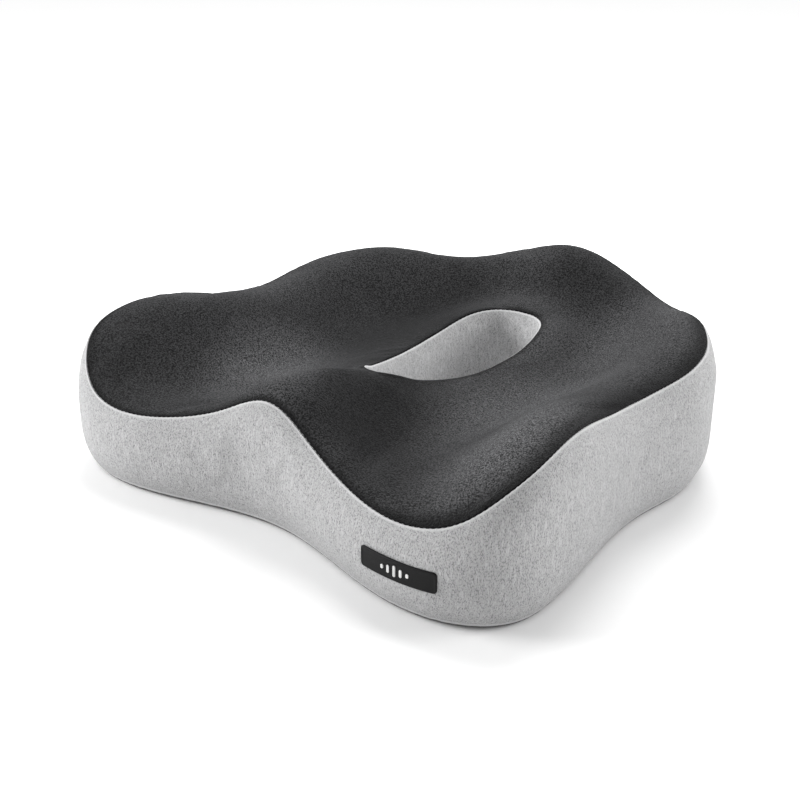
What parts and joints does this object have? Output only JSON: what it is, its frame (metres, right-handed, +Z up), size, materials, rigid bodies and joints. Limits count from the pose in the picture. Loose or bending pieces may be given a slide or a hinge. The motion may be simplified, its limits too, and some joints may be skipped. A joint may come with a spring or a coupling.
{
  "type": "contoured seat cushion",
  "caption": "Contoured foam seat cushion with thigh grooves, raised sides, a through well and a removable zipped cover.",
  "frame": {"origin": "middle of the cushion's footprint, on the surface it stands on", "axes": "+Z up, +X to the sitter's left-hand side seen from the front (the label's side), +Y towards the round back; the thigh grooves and the notch face -Y"},
  "size_m": [0.445, 0.4452, 0.129],
  "materials": {
    "charcoal_knit": "short-pile melange knit, soft sheen",
    "grey_knit": "light melange knit with fine upright slubs",
    "black_base_cloth": "matte woven",
    "silicone": "satin silicone",
    "grey_thread": "twisted thread",
    "black_thread": "twisted thread",
    "label_rubber": "matte rubber",
    "white_print": "matte print",
    "white_satin": "satin ribbon",
    "zip_tape": "woven tape",
    "zip_coil": "nylon coil",
    "zip_metal": "gunmetal paint",
    "white_tricot": "fine tricot",
    "memory_foam": "slow-recovery foam"
  },
  "bodies": {
    "cushion": {"top_panel": "charcoal_knit", "side_band": "grey_knit", "rear_band_upper": "grey_knit", "rear_band_lower": "grey_knit", "well_lining": "grey_knit", "base_panel": "black_base_cloth", "grip_dots": "silicone", "top_seam": "grey_thread", "base_seam": "black_thread", "well_top_seam": "grey_thread", "well_base_seam": "black_thread", "label_patch": "label_rubber", "label_mark": "white_print", "care_label": "white_satin", "zip_tape_upper": "zip_tape", "zip_tape_lower": "zip_tape", "zip_coil_upper": "zip_coil", "zip_coil_lower": "zip_coil", "zip_stops": "zip_metal", "zip_end_tabs": "grey_knit", "liner_top": "white_tricot", "liner_band": "white_tricot", "liner_well": "white_tricot", "liner_base": "white_tricot", "foam_core": "memory_foam"},
    "slider": {"zip_slider": "zip_metal"},
    "pull_tab": {"zip_pull_tab": "zip_metal"}
  },
  "joints": [
    {"name": "zip_travel", "type": "hinge", "parent": "cushion", "child": "slider", "pos_m": [0, 0.0005, 0.046], "axis": [0, 0, 1], "range_deg": [-66, 0]},
    {"name": "pull_swing", "type": "hinge", "parent": "slider", "child": "pull_tab", "pos_m": [-0.12279, 0.18886, 0.046], "axis": [0, 0, 1], "range_deg": [-170, 0]}
  ]
}
